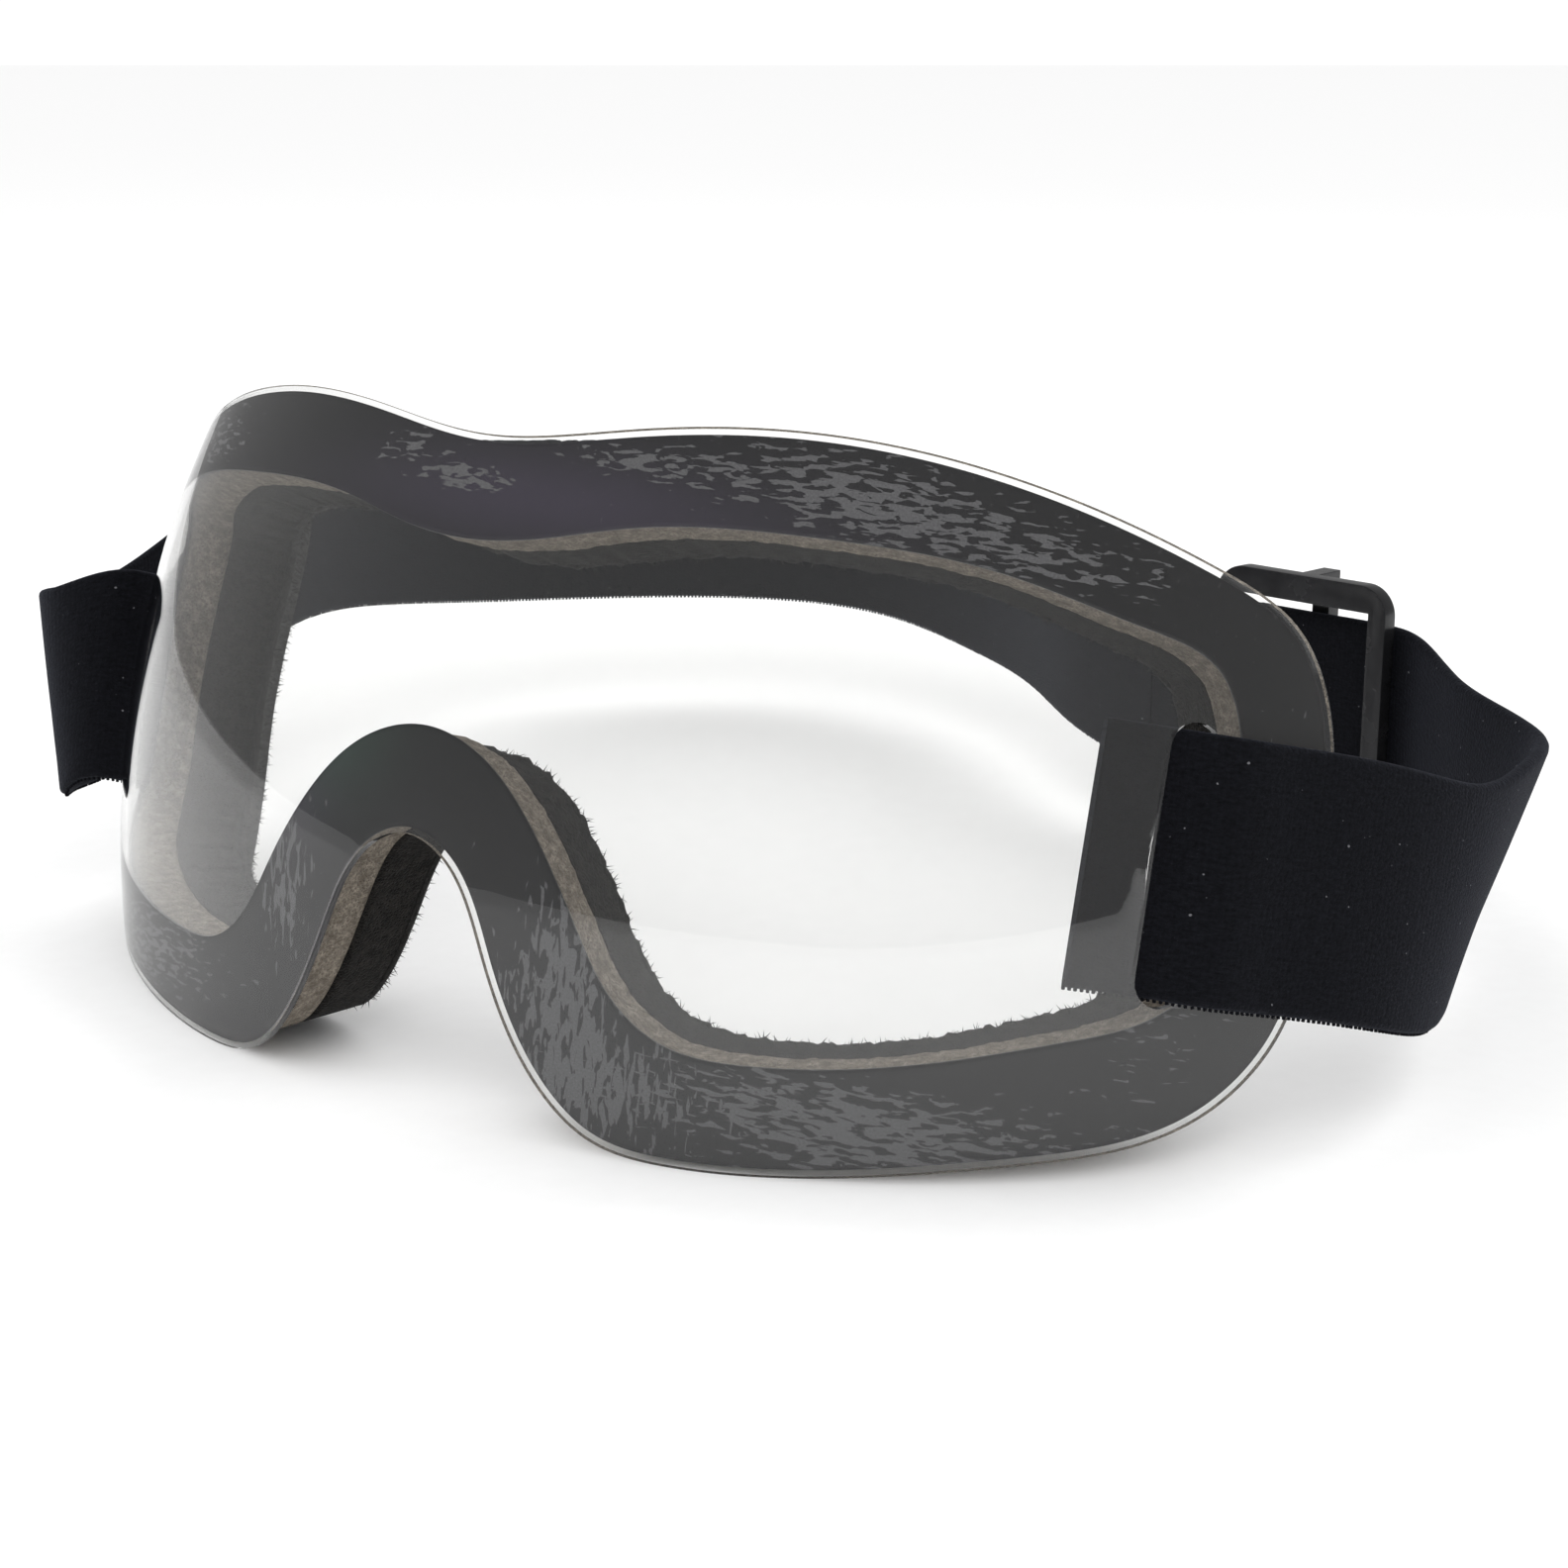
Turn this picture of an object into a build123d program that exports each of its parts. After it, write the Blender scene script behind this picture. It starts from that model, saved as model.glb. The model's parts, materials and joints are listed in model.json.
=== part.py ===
import math
import os

from build123d import *

# Frameless wrap goggles: a curved clear lens, a foam face seal glued behind it
# and an elastic head strap threaded through a slot at each temple.
# Frame: +Z up, the lens front faces -Y, +X is the side of the strap slider.
# The origin lies on the standing plane, under the middle of the nose notch.
# Millimetres throughout.

# ---- driving dimensions -------------------------------------------------
lens_lean = 16.0            # the lens leans back by this angle
standing_height = 42.3      # height of the lens blank's datum above the floor
centre_radius = 130.0       # plan radius of the lens over the nose and cheeks
temple_radius = 80.0        # tighter plan radius towards the temples
centre_reach = 55.0         # arc length from the middle to the tighter bend
vertical_radius = 142.0     # bulge of the lens from top to bottom
lens_thickness = 1.0
film_thickness = 0.35       # double-sided adhesive between lens and foam
front_foam_depth = 6.5
rear_foam_depth = 8.5
lining_thickness = 1.0      # fleece against the face
edge_margin = 1.3           # clear lens left outside the foam
slot_reach = 91.5           # arc length from the middle to a strap slot
slot_middle = 1.8           # height of a slot's middle on the blank
slot_width = 6.4
strap_width = 30.0
strap_thickness = 1.8
strap_gap = 0.5             # air between the strap and what it passes
slider_length = 30.0        # along the strap
slider_bar = 3.0
slider_plate = 2.6
slider_rail = 4.0
slider_corner = 4.5
slider_play = 2.0           # gap between the strap's edges and the slider's rails
slider_offset = 12.0        # the slider's middle, along the strap's straight run
slot_play = 1.0             # a slot is longer than the strap and its gaps by this

# The flat blank's right half, as (arc length from the middle, height)
lens_outline = [
    (0, 39.0), (20, 41.6), (43, 43.8), (70, 41.2), (93, 35.2), (104.5, 29.4),
    (109.6, 18), (110, 0), (108.4, -15.5), (101, -25.6), (80, -34), (58, -39),
    (38, -41.5), (27.5, -40.2), (21.5, -36), (12.4, -21.5), (6, -11.3), (0, -9.0),
]
# The adhesive ring's inner edge, on the same blank
window_outline = [
    (0, 26.2), (10, 27.2), (22, 29.9), (46, 31.8), (66, 31.0), (84, 27.4), (94, 23.8),
    (97.6, 15), (98.2, 1), (97, -10), (91.5, -15.6), (82, -19.4), (70, -23.2), (46, -28), (36, -27.4),
    (29.5, -23.4), (24, -15.8), (18, -7), (11, 0), (5, 3.0), (0, 3.8),
]

os.makedirs("parts", exist_ok=True)

# ---- the leaning lens frame ---------------------------------------------
lens_frame = Plane(
    origin=(0, 0, standing_height),
    x_dir=(1, 0, 0),
    z_dir=(0, math.sin(math.radians(lens_lean)), math.cos(math.radians(lens_lean))),
)


def place(x, y, z):
    """World point of a point in the leaning lens frame."""
    return lens_frame.from_local_coords(Vector(x, y, z))


def aim(x, y, z):
    """World direction of a direction in the leaning lens frame."""
    return place(x, y, z) - place(0, 0, 0)


lens_up = aim(0, 0, 1)
bend_angle = math.degrees(centre_reach / centre_radius)
bend_x = (centre_radius - temple_radius) * math.sin(math.radians(bend_angle))
bend_y = centre_radius - (centre_radius - temple_radius) * math.cos(math.radians(bend_angle))
temple_view = 45.0          # plan angle from which the temples are cut
temple_end = 70.0           # plan angle past the end of the temples
half_rise = 20.0            # the shell zones reach this far up and down, in degrees
cut_reach = 160.0           # how far a cutting prism runs each way


def plan_angle(reach):
    """Plan angle of the lens, in degrees, at an arc length from the middle."""
    if reach <= centre_reach:
        return math.degrees(reach / centre_radius)
    return bend_angle + math.degrees((reach - centre_reach) / temple_radius)


def lens_point(reach, height, depth=0.0):
    """Lens-frame point at an arc length, a height and a depth behind the front."""
    angle = math.radians(plan_angle(reach))
    if reach <= centre_reach:
        axis_x, axis_y, radius = 0.0, centre_radius, centre_radius
    else:
        axis_x, axis_y, radius = bend_x, bend_y, temple_radius
    lift = height / vertical_radius
    out = radius - vertical_radius + (vertical_radius - depth) * math.cos(lift)
    return (
        axis_x + out * math.sin(angle),
        axis_y - out * math.cos(angle),
        (vertical_radius - depth) * math.sin(lift),
    )


def inset(outline, amount):
    """The outline moved in by an amount; its two ends stay on the middle line."""
    moved = []
    last = len(outline) - 1
    for index, (reach, height) in enumerate(outline):
        before = outline[index - 1] if index > 0 else (-outline[1][0], outline[1][1])
        after = outline[index + 1] if index < last else (-outline[-2][0], outline[-2][1])
        along = Vector(after[0] - before[0], after[1] - before[1]).normalized()
        moved.append((reach + along.Y * amount, height - along.X * amount))
    moved[0] = (0, moved[0][1])
    moved[-1] = (0, moved[-1][1])
    return moved


def view_plane(angle):
    """Plane that looks at the lens from a plan angle."""
    turn = math.radians(angle)
    return Plane(
        origin=place(0, 0, 0),
        x_dir=aim(math.cos(turn), math.sin(turn), 0),
        z_dir=aim(math.sin(turn), -math.cos(turn), 0),
    )


def outline_prism(outline, angle, depth):
    """Right half of an outline, cut through the lens along a viewing angle."""
    turn = math.radians(angle)
    seen = []
    for reach, height in outline:
        x, y, z = lens_point(reach, height, depth)
        seen.append((x * math.cos(turn) + y * math.sin(turn), z))
    with BuildPart() as prism:
        with BuildSketch(view_plane(angle)):
            with BuildLine():
                Spline(*seen, tangents=[(1, 0), (-1, 0)])
                Line(seen[-1], seen[0])
            make_face()
        extrude(amount=cut_reach, both=True)
    return prism.part


def shell_zone(axis_x, axis_y, radius, start, end, front, back):
    """A stretch of curved shell between two depths and two plan angles."""
    turn = math.radians(start)
    outward = aim(math.sin(turn), -math.cos(turn), 0)
    section = Plane(origin=place(axis_x, axis_y, 0), x_dir=outward, z_dir=outward.cross(lens_up))
    rise = math.radians(half_rise)
    corners = []
    for depth, lift in [(front, -rise), (front, 0), (front, rise), (back, rise), (back, 0), (back, -rise)]:
        reach = vertical_radius - depth
        corners.append((radius - vertical_radius + reach * math.cos(lift), reach * math.sin(lift)))
    with BuildPart() as zone:
        with BuildSketch(section):
            with BuildLine():
                ThreePointArc(*corners[:3])
                Line(corners[2], corners[3])
                ThreePointArc(*corners[3:])
                Line(corners[5], corners[0])
            make_face()
        revolve(axis=Axis(place(axis_x, axis_y, 0), lens_up), revolution_arc=end - start)
    return zone.part


def curved_ring(front, back, outer, window):
    """A layer of the lens stack; window is None for a layer with no opening."""
    middle = (front + back) / 2
    halves = [
        (shell_zone(0, centre_radius, centre_radius, 0, bend_angle, front, back), 0.0),
        (shell_zone(bend_x, bend_y, temple_radius, bend_angle, temple_end, front, back), temple_view),
    ]
    with BuildPart() as ring:
        for shell, angle in halves:
            keep = shell & outline_prism(outer, angle, middle)
            if window is not None:
                keep = keep - outline_prism(window, angle, middle)
            add(keep)
        mirror(about=Plane.YZ)
    return ring.part


# ---- lens ---------------------------------------------------------------
slot_angle = plan_angle(slot_reach)
slot_centre = lens_point(slot_reach, slot_middle)
with BuildPart() as lens:
    add(curved_ring(0, lens_thickness, lens_outline, None))
    turn = math.radians(slot_angle)
    slot_plane = Plane(
        origin=place(*slot_centre),
        x_dir=lens_up,
        z_dir=aim(math.sin(turn), -math.cos(turn), 0),
    )
    with BuildSketch(slot_plane):
        SlotOverall(strap_width + 2 * strap_gap + slot_play, slot_width)
    cutters = extrude(amount=6, both=True, mode=Mode.PRIVATE)
    add(cutters, mode=Mode.SUBTRACT)
    add(mirror(cutters, about=Plane.YZ, mode=Mode.PRIVATE), mode=Mode.SUBTRACT)

# ---- glued face seal ----------------------------------------------------
foam_outline = inset(lens_outline, edge_margin)
film_back = lens_thickness + film_thickness
front_foam_back = film_back + front_foam_depth
rear_foam_back = front_foam_back + rear_foam_depth
lining_back = rear_foam_back + lining_thickness

adhesive_film = curved_ring(lens_thickness, film_back, foam_outline, window_outline)
foam_front = curved_ring(film_back, front_foam_back, foam_outline, inset(window_outline, 0.6))
foam_rear = curved_ring(front_foam_back, rear_foam_back, foam_outline, inset(window_outline, 1.8))
face_lining = curved_ring(rear_foam_back, lining_back, foam_outline, inset(window_outline, 2.4))

# ---- strap --------------------------------------------------------------
strap_clearance = strap_gap + strap_thickness / 2
upright_from = 110.0        # further back than this the ribbon stands upright
leaning_to = 50.0           # nearer than this it leans with the lens


def on_lens(reach, depth, side):
    """World point in the middle of the strap's width, at an arc length and a depth."""
    point = place(*lens_point(reach, slot_middle, depth))
    return Vector(side * point.X, point.Y, point.Z)


def ribbon(curve, steps):
    """A flat band along a curve, leaning with the lens where it is near it."""
    with BuildPart() as band:
        for step in range(steps + 1):
            middle = curve.position_at(step / steps)
            along = curve.tangent_at(step / steps)
            along = Vector(along.X, along.Y, 0).normalized()
            share = (upright_from - middle.Y) / (upright_from - leaning_to)
            tip = math.radians(lens_lean * min(1.0, max(0.0, share)))
            rise = Vector(0, math.sin(tip), math.cos(tip))
            across = along.cross(rise).normalized()
            with BuildSketch(Plane(origin=middle, x_dir=across, z_dir=across.cross(rise))):
                Rectangle(strap_thickness, strap_width)
        loft(ruled=True)
    return band.part


anchor_reach = 81.0         # the strap's sewn end stops here, behind the lens
lens_sag = 0.9              # the lens curves back this far over half the strap's width
anchor_depth = lens_thickness + strap_clearance + lens_sag
front_depth = -strap_clearance
swing_start = slot_reach + 4.4

# The sewn ends stay with the lens: flat behind it, then out into the slot
anchors = {}
for side, name in [(1, "strap_anchor_right"), (-1, "strap_anchor_left")]:
    anchor_curve = Spline(
        on_lens(anchor_reach, anchor_depth, side),
        on_lens(anchor_reach + 4, anchor_depth, side),
        on_lens(slot_reach - 2.6, anchor_depth - 0.6, side),
        on_lens(slot_reach, (lens_thickness + lens_sag) / 2, side),
    )
    anchors[name] = ribbon(anchor_curve, 10)

# Right half: over the temple, around a soft hairpin, back to the slider
slider_heading = 168.0
slider_turn = math.radians(slider_heading)
slider_run = Vector(math.cos(slider_turn), math.sin(slider_turn), 0)
straight_start = Vector(60.4, 142.2, 25.5)
straight_length = 41.0
straight_end = straight_start + slider_run * straight_length
right_bend = Spline(
    on_lens(swing_start, front_depth, 1),
    on_lens(102, front_depth, 1),
    on_lens(109.5, front_depth - 0.3, 1),
    (99.5, 56.5, 28.5),
    (103.2, 68, 25),
    (101, 86, 23.5),
    (92.5, 105, 22.5),
    (82, 121.5, 22),
    (71.5, 134.5, 23.5),
    straight_start,
    tangents=[on_lens(swing_start + 1, front_depth, 1) - on_lens(swing_start, front_depth, 1), slider_run],
)
with BuildPart() as strap_right:
    add(ribbon(right_bend, 40))
    add(ribbon(Line(straight_start, straight_end), 1))

# Left half: on from the slider around the back, then a loose loop to the slot
loop_gap = 1.6              # the loop is open here, past the slider
rear_start = straight_end + slider_run * loop_gap
left_bend = Spline(
    rear_start,
    (4, 158, 30),
    (-14, 173, 33.5),
    (-36, 189, 34.5),
    (-62, 197, 36),
    (-91, 189, 38),
    (-110, 172, 38.5),
    (-120, 149, 40),
    (-121, 124, 42.5),
    (-117, 101, 42.5),
    (-111, 78, 38),
    (-106.5, 58, 32),
    (-104.3, 45, 29.5),
    (-101.2, 35, 30.2),
    (-94.5, 29.2, 32),
    on_lens(slot_reach + 0.4, -3.6, -1),
    tangents=[slider_run, on_lens(slot_reach, 0, -1) - on_lens(slot_reach, -1, -1)],
)
strap_left = ribbon(left_bend, 64)

# ---- strap slider -------------------------------------------------------
slider_height = strap_width + 2 * slider_play + 2 * slider_rail
slider_centre = straight_start + slider_run * slider_offset
slider_plane = Plane(origin=slider_centre, x_dir=slider_run, z_dir=slider_run.cross(Vector(0, 0, 1)) * -1)
bar_back = -(strap_thickness / 2 + strap_gap + slider_plate)
plate_front = strap_thickness / 2 + strap_gap
with BuildPart() as slider_frame:
    with BuildSketch(slider_plane.offset(plate_front)):
        RectangleRounded(slider_length, slider_height, slider_corner)
        Rectangle(slider_length - 2 * slider_bar, slider_height - 2 * slider_rail, mode=Mode.SUBTRACT)
    extrude(amount=slider_plate)
    with BuildSketch(slider_plane.offset(bar_back)):
        with Locations((0, (slider_height - slider_rail) / 2), (0, -(slider_height - slider_rail) / 2)):
            Rectangle(slider_bar, slider_rail)
    extrude(amount=plate_front - bar_back + slider_plate / 2)
    with BuildSketch(slider_plane.offset(bar_back)):
        Rectangle(slider_bar, slider_height - slider_rail)
    extrude(amount=slider_plate)

for name, solid in [
    ("strap_right", strap_right.part), ("strap_left", strap_left), ("slider_frame", slider_frame.part),
    *anchors.items(),
    ("lens", lens.part), ("adhesive_film", adhesive_film), ("foam_front", foam_front),
    ("foam_rear", foam_rear), ("face_lining", face_lining),
]:
    solid.label = name
    export_step(solid, f"parts/{name}.step")
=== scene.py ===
"""Frameless wrap goggles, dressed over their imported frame.

The lens, its glued foam seal, the elastic strap and the strap's slider are
built here as fine meshes in the places that the frame gives them.
"""

from __future__ import annotations

import json
import logging
import math
from dataclasses import dataclass, field
from enum import Enum
from typing import Sequence

import bmesh
import bpy
import numpy as np
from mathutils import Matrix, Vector
from mathutils.geometry import delaunay_2d_cdt

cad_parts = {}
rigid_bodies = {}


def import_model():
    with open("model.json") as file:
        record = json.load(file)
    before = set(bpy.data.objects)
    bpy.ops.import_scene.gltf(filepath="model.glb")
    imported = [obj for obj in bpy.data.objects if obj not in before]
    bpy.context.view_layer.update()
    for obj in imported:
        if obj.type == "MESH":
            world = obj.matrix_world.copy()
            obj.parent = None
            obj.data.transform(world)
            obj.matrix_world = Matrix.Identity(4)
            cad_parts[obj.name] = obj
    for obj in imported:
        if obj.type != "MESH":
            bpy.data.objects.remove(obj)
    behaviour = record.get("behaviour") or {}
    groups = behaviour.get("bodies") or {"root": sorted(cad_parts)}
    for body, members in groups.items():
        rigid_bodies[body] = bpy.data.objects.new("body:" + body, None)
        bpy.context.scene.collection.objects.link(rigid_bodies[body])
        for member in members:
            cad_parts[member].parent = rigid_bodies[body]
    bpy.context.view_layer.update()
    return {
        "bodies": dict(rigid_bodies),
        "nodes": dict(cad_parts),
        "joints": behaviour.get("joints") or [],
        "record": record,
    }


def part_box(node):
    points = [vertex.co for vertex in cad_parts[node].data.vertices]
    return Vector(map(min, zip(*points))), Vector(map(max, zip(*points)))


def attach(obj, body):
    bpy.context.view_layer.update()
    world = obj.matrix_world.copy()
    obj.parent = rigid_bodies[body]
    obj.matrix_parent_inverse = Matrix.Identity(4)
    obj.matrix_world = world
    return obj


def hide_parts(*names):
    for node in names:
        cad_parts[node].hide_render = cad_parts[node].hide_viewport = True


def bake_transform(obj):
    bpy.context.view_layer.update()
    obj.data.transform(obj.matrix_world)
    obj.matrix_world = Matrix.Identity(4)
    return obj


LOG = logging.getLogger("goggles")
MM = 0.001


class Side(Enum):
    """Which temple of the goggles a piece belongs to, as the sign of its X."""

    RIGHT = 1
    LEFT = -1


# ---------------------------------------------------------------- geometry


def cubic_through(points: np.ndarray, count: int, ends: tuple | None = None) -> np.ndarray:
    """Sample a smooth cubic curve through points.

    Args:
        points: The points, one row each.
        count: How many samples to return, both ends included.
        ends: Optional unit tangents at the first and the last point.

    Returns:
        The samples, one row each, evenly spread over chord length.
    """
    points = np.asarray(points, float)
    steps = np.linalg.norm(np.diff(points, axis=0), axis=1)
    knots = np.concatenate([[0.0], np.cumsum(steps)])
    size = len(points)
    matrix = np.zeros((size, size))
    right = np.zeros_like(points)
    for i in range(1, size - 1):
        h0, h1 = steps[i - 1], steps[i]
        matrix[i, i - 1 : i + 2] = (h1, 2 * (h0 + h1), h0)
        right[i] = 3 * (h1 * (points[i] - points[i - 1]) / h0 + h0 * (points[i + 1] - points[i]) / h1)
    if ends is None:
        matrix[0, :2] = (2, 1)
        matrix[-1, -2:] = (1, 2)
        right[0] = 3 * (points[1] - points[0]) / steps[0]
        right[-1] = 3 * (points[-1] - points[-2]) / steps[-1]
    else:
        matrix[0, 0] = matrix[-1, -1] = 1
        right[0], right[-1] = ends
    slopes = np.linalg.solve(matrix, right)
    at = np.linspace(0, knots[-1], count)
    cell = np.clip(np.searchsorted(knots, at, side="right") - 1, 0, size - 2)
    h = steps[cell][:, None]
    u = ((at - knots[cell])[:, None]) / h
    a, b = points[cell], points[cell + 1]
    ma, mb = slopes[cell] * h, slopes[cell + 1] * h
    return (
        (2 * u**3 - 3 * u**2 + 1) * a
        + (u**3 - 2 * u**2 + u) * ma
        + (3 * u**2 - 2 * u**3) * b
        + (u**3 - u**2) * mb
    )


def resample(line: np.ndarray, count: int) -> np.ndarray:
    """Spread samples evenly by length along a dense line.

    Args:
        line: The dense line, one row for each point.
        count: How many samples to return, both ends included.

    Returns:
        The evenly spaced samples.
    """
    far = np.concatenate([[0.0], np.cumsum(np.linalg.norm(np.diff(line, axis=0), axis=1))])
    at = np.linspace(0, far[-1], count)
    return np.stack([np.interp(at, far, line[:, k]) for k in range(line.shape[1])], axis=1)


def new_piece(name: str, points: np.ndarray, faces: Sequence, sharp: float = 40.0) -> bpy.types.Object:
    """Make a smooth-shaded mesh object at the origin.

    Args:
        name: The piece's name.
        points: Vertex places in millimetres, in the row frame.
        faces: Vertex indices of each face.
        sharp: Edges bent by more than this many degrees stay sharp.

    Returns:
        The linked object.
    """
    mesh = bpy.data.meshes.new(name)
    mesh.from_pydata((np.asarray(points) * MM).tolist(), [], [list(map(int, f)) for f in faces])
    mesh.validate()
    mesh.update()
    mesh.polygons.foreach_set("use_smooth", [True] * len(mesh.polygons))
    mesh.set_sharp_from_angle(angle=math.radians(sharp))
    piece = bpy.data.objects.new(name, mesh)
    bpy.context.scene.collection.objects.link(piece)
    return piece


def face_outwards(piece: bpy.types.Object) -> None:
    """Turn every face of a closed piece outwards."""
    work = bmesh.new()
    work.from_mesh(piece.data)
    bmesh.ops.recalc_face_normals(work, faces=work.faces)
    work.to_mesh(piece.data)
    work.free()


def write_uv(piece: bpy.types.Object, per_vertex: np.ndarray) -> None:
    """Give a piece a UV map from one coordinate pair for each vertex."""
    layer = piece.data.uv_layers.new(name="UVMap")
    corner = np.empty(len(piece.data.loops), int)
    piece.data.loops.foreach_get("vertex_index", corner)
    layer.data.foreach_set("uv", np.asarray(per_vertex, float)[corner].ravel())


def write_mask(piece: bpy.types.Object, name: str, values: np.ndarray) -> None:
    """Store one number for each vertex as a named attribute."""
    attribute = piece.data.attributes.new(name, "FLOAT", "POINT")
    attribute.data.foreach_set("value", np.asarray(values, np.float32))


@dataclass
class LensForm:
    """The curved surface that the lens and its seal follow.

    Lengths are in millimetres. A place on it is an arc length from the
    middle, a height, and a depth behind the front.
    """

    lean: float = 16.0
    standing_height: float = 42.3
    centre_radius: float = 130.0
    temple_radius: float = 80.0
    centre_reach: float = 55.0
    vertical_radius: float = 142.0

    def plan_angle(self, reach: np.ndarray) -> np.ndarray:
        """Plan angle in radians at each arc length, with its sign."""
        size = np.abs(reach)
        bend = self.centre_reach / self.centre_radius
        angle = np.where(
            size <= self.centre_reach,
            size / self.centre_radius,
            bend + (size - self.centre_reach) / self.temple_radius,
        )
        return angle * np.sign(reach)

    def leaned(self, points: np.ndarray) -> np.ndarray:
        """Turn upright lens-frame points into the row frame."""
        turn = math.radians(self.lean)
        x, y, z = points[..., 0], points[..., 1], points[..., 2]
        return np.stack(
            [x, y * math.cos(turn) + z * math.sin(turn),
             z * math.cos(turn) - y * math.sin(turn) + self.standing_height],
            axis=-1,
        )

    def place(self, reach: np.ndarray, height: np.ndarray, depth: np.ndarray | float) -> np.ndarray:
        """Row-frame points, in millimetres, of places on the surface.

        Args:
            reach: Signed arc length from the middle line.
            height: Height on the flat blank.
            depth: Depth behind the lens's front face.

        Returns:
            An array of points with a last axis of three.
        """
        reach, height, depth = np.broadcast_arrays(
            np.asarray(reach, float), np.asarray(height, float), np.asarray(depth, float))
        angle = np.abs(self.plan_angle(reach))
        bend = self.centre_reach / self.centre_radius
        shift = self.centre_radius - self.temple_radius
        outer = np.abs(reach) > self.centre_reach
        axis_x = np.where(outer, shift * math.sin(bend), 0.0)
        axis_y = np.where(outer, self.centre_radius - shift * math.cos(bend), self.centre_radius)
        radius = np.where(outer, self.temple_radius, self.centre_radius)
        lift = height / self.vertical_radius
        out = radius - self.vertical_radius + (self.vertical_radius - depth) * np.cos(lift)
        sign = np.where(reach < 0, -1.0, 1.0)
        upright = np.stack(
            [sign * (axis_x + out * np.sin(angle)), axis_y - out * np.cos(angle),
             (self.vertical_radius - depth) * np.sin(lift)],
            axis=-1,
        )
        return self.leaned(upright)


@dataclass
class Blank:
    """A flat outline, given as its right half from top middle to bottom middle."""

    points: tuple[tuple[float, float], ...]
    stations: tuple[int, ...]
    counts: tuple[int, ...] = (110, 40, 100, 70)

    def half(self) -> np.ndarray:
        """Even samples of the right half, stretch by stretch between stations."""
        control = np.array(self.points, float)
        fine = 400
        ends = (np.array([1.0, 0.0]), np.array([-1.0, 0.0]))
        dense = cubic_through(control, fine * (len(control) - 1) + 1, ends)
        marks = [int(np.argmin(np.linalg.norm(dense - control[i], axis=1))) for i in self.stations]
        runs = []
        for (start, stop), count in zip(zip(marks[:-1], marks[1:]), self.counts):
            runs.append(resample(dense[start : stop + 1], count + 1)[:-1])
        runs.append(dense[-1:])
        return np.concatenate(runs)

    def whole(self, inset: float = 0.0) -> np.ndarray:
        """The closed outline, moved inwards by inset millimetres."""
        right = self.half()
        left = right[-2:0:-1] * (-1, 1)
        loop = np.concatenate([right, left])
        along = np.roll(loop, -1, axis=0) - np.roll(loop, 1, axis=0)
        along /= np.linalg.norm(along, axis=1)[:, None]
        return loop + np.stack([along[:, 1], -along[:, 0]], axis=1) * inset


LENS_BLANK = Blank(
    points=(
        (0, 39.0), (20, 41.6), (43, 43.8), (70, 41.2), (93, 35.2), (104.5, 29.4),
        (109.6, 18), (110, 0), (108.4, -15.5), (101, -25.6), (80, -34), (58, -39),
        (38, -41.5), (27.5, -40.2), (21.5, -36), (12.4, -21.5), (6, -11.3), (0, -9.0),
    ),
    stations=(0, 6, 8, 13, 17),
)
WINDOW_BLANK = Blank(
    points=(
        (0, 26.2), (10, 27.2), (22, 29.9), (46, 31.8), (66, 31.0), (84, 27.4), (94, 23.8),
        (97.6, 15), (98.2, 1), (97, -10), (91.5, -15.6), (82, -19.4), (70, -23.2), (46, -28),
        (36, -27.4), (29.5, -23.4), (24, -15.8), (18, -7), (11, 0), (5, 3.0), (0, 3.8),
    ),
    stations=(0, 7, 9, 14, 20),
)


# --------------------------------------------------------------- materials


def grain_group() -> bpy.types.NodeTree:
    """The shared grain effect: seeded noise cut to a range, built once.

    Returns:
        The shader node group.
    """
    known = bpy.data.node_groups.get("surface_grain")
    if known:
        return known
    tree = bpy.data.node_groups.new("surface_grain", "ShaderNodeTree")
    tree.interface.new_socket("Vector", in_out="INPUT", socket_type="NodeSocketVector")
    for label in ("Scale", "Detail", "Roughness", "Distortion", "From Min", "From Max", "To Min", "To Max"):
        tree.interface.new_socket(label, in_out="INPUT", socket_type="NodeSocketFloat")
    tree.interface.new_socket("Value", in_out="OUTPUT", socket_type="NodeSocketFloat")
    given, result = tree.nodes.new("NodeGroupInput"), tree.nodes.new("NodeGroupOutput")
    noise, cut = tree.nodes.new("ShaderNodeTexNoise"), tree.nodes.new("ShaderNodeMapRange")
    for label in ("Vector", "Scale", "Detail", "Roughness", "Distortion"):
        tree.links.new(given.outputs[label], noise.inputs[label])
    for label in ("From Min", "From Max", "To Min", "To Max"):
        tree.links.new(given.outputs[label], cut.inputs[label])
    tree.links.new(noise.outputs["Fac"], cut.inputs["Value"])
    tree.links.new(cut.outputs["Result"], result.inputs["Value"])
    return tree


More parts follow.
